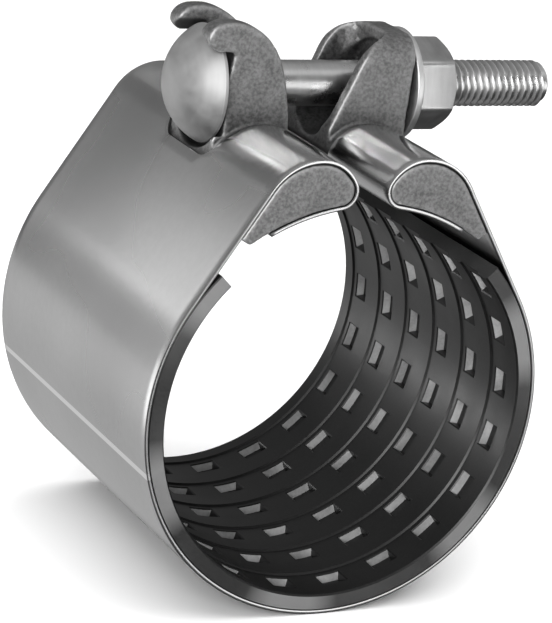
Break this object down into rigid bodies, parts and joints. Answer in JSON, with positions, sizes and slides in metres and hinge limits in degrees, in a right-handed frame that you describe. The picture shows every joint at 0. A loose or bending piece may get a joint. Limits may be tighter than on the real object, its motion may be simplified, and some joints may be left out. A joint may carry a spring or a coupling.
{
  "type": "pipe repair clamp",
  "caption": "Stainless band clamp lined with a ribbed rubber gasket, drawn round a leaking pipe by a bolt through two cast lugs.",
  "frame": {"origin": "the pipe's axis at the middle of the band's width", "axes": "+Y along the pipe, +Z from the pipe's axis towards the bolt, +X along the bolt from its head to its nut"},
  "size_m": [0.1318, 0.1016, 0.1498],
  "materials": {
    "band_steel": "satin mill finish stainless sheet",
    "gasket_rubber": "moulded black rubber with a dull sheen",
    "lug_iron": "dark grainy casting",
    "bolt_steel": "bright steel, cold headed",
    "washer_steel": "bright stamped steel",
    "nut_steel": "machined steel"
  },
  "bodies": {
    "band_side": {"band": "band_steel", "gasket": "gasket_rubber", "head_lug": "lug_iron"},
    "nut_side": {"nut_lug": "lug_iron"},
    "bolt": {"bolt": "bolt_steel"},
    "washer": {"washer": "washer_steel"},
    "nut": {"nut": "nut_steel"}
  },
  "joints": [
    {"name": "band_flex", "type": "hinge", "parent": "band_side", "child": "nut_side", "pos_m": [0, 0, -0.0557], "axis": [0, 1, 0], "range_deg": [-3.7, 12.6], "deforming": ["band", "gasket"]},
    {"name": "bolt_tilt", "type": "hinge", "parent": "band_side", "child": "bolt", "pos_m": [-0.026, 0, 0.0746], "axis": [0, 1, 0], "range_deg": [-1.95, 6.6]},
    {"name": "nut_travel", "type": "slide", "parent": "bolt", "child": "washer", "axis": [1, 0, 0], "range_m": [-0.0083, 0.0293]},
    {"name": "nut_spin", "type": "hinge", "parent": "washer", "child": "nut", "pos_m": [0.0314, 0, 0.0746], "axis": [1, 0, 0], "range_deg": [-1545, 5430]}
  ],
  "couplings": [
    {"joint": "nut_spin", "follows": "nut_travel", "rad_per_m": 3215.8},
    {"joint": "band_flex", "follows": "nut_travel", "rad_per_m": 7.3333},
    {"joint": "bolt_tilt", "follows": "nut_travel", "rad_per_m": 3.8353}
  ]
}
